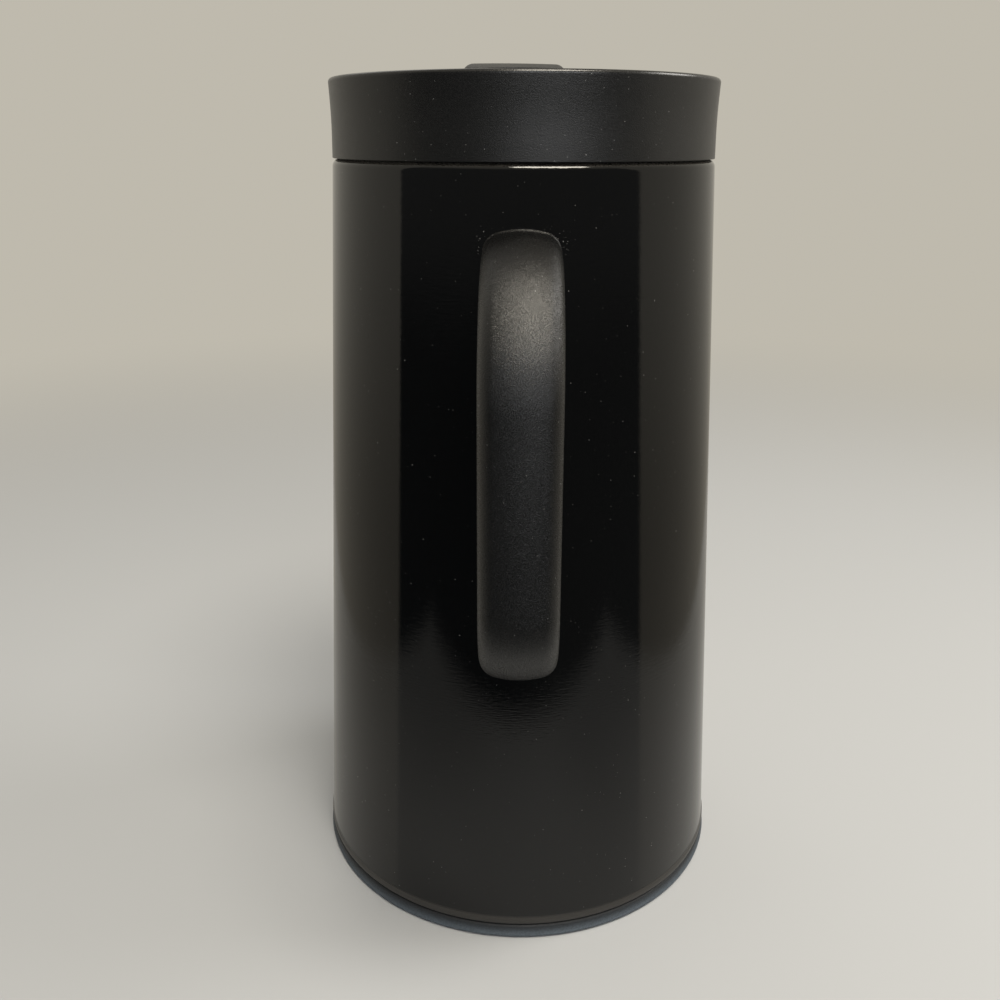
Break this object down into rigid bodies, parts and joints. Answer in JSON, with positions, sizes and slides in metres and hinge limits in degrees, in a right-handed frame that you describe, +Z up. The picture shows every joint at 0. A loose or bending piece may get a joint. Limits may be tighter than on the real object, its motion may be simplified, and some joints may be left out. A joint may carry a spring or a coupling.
{
  "type": "insulated pitcher",
  "caption": "Tall tapered vacuum pitcher with a gloss black wall, a rigid matte loop handle and a matte screw lid with a hinged flip cap over its pour spout.",
  "frame": {"origin": "on the pitcher's axis, at the table, in the middle of the base pad's underside", "axes": "+Z up along the pitcher's axis, -Y out through the handle, +X to the right when the handle is seen from its own side"},
  "size_m": [0.1382, 0.1785, 0.2583],
  "materials": {
    "black_lacquer": "gloss",
    "steel": "satin",
    "handle_plastic": "matte",
    "lid_plastic": "matte",
    "black_silicone": "matte",
    "grey_silicone": "satin",
    "foam": "matte"
  },
  "bodies": {
    "pitcher": {"outer_shell": "black_lacquer", "threaded_neck": "steel", "inner_liner": "steel", "base_plate": "steel", "evacuation_seal": "steel", "getter_capsule": "steel", "base_pad": "black_silicone", "base_boot": "black_silicone", "shoulder_ring": "black_silicone", "upper_weld_plate": "steel", "lower_weld_plate": "steel", "handle_strap": "steel", "handle_outer_grip": "handle_plastic", "handle_inner_grip": "handle_plastic", "upper_handle_screw": "steel", "lower_handle_screw": "steel", "upper_screw_plug": "handle_plastic", "lower_screw_plug": "handle_plastic"},
    "lid_seal": {"lid_gasket": "grey_silicone"},
    "lid": {"lid_cover": "lid_plastic", "thread_ring": "lid_plastic", "lid_core": "lid_plastic", "pour_tube": "lid_plastic", "vent_tube": "lid_plastic", "lid_insulation": "foam", "hinge_pin": "steel"},
    "flip_cap": {"flip_cap": "lid_plastic", "flip_cap_base": "lid_plastic", "spout_seal": "grey_silicone", "vent_seal": "grey_silicone"}
  },
  "joints": [
    {"name": "lid_lift", "type": "slide", "parent": "pitcher", "child": "lid_seal", "axis": [0, 0, 1], "range_m": [0, 0.00902]},
    {"name": "lid_turn", "type": "hinge", "parent": "lid_seal", "child": "lid", "pos_m": [0, 0, 0.2313], "axis": [0, 0, 1], "range_deg": [0, 360]},
    {"name": "flip_cap_hinge", "type": "hinge", "parent": "lid", "child": "flip_cap", "pos_m": [-0.00014, 0.00099, 0.2528], "axis": [0.9903, 0.1392, 0], "range_deg": [0, 120]}
  ],
  "couplings": [
    {"joint": "lid_lift", "follows": "lid_turn", "m_per_rad": 0.0014324}
  ]
}
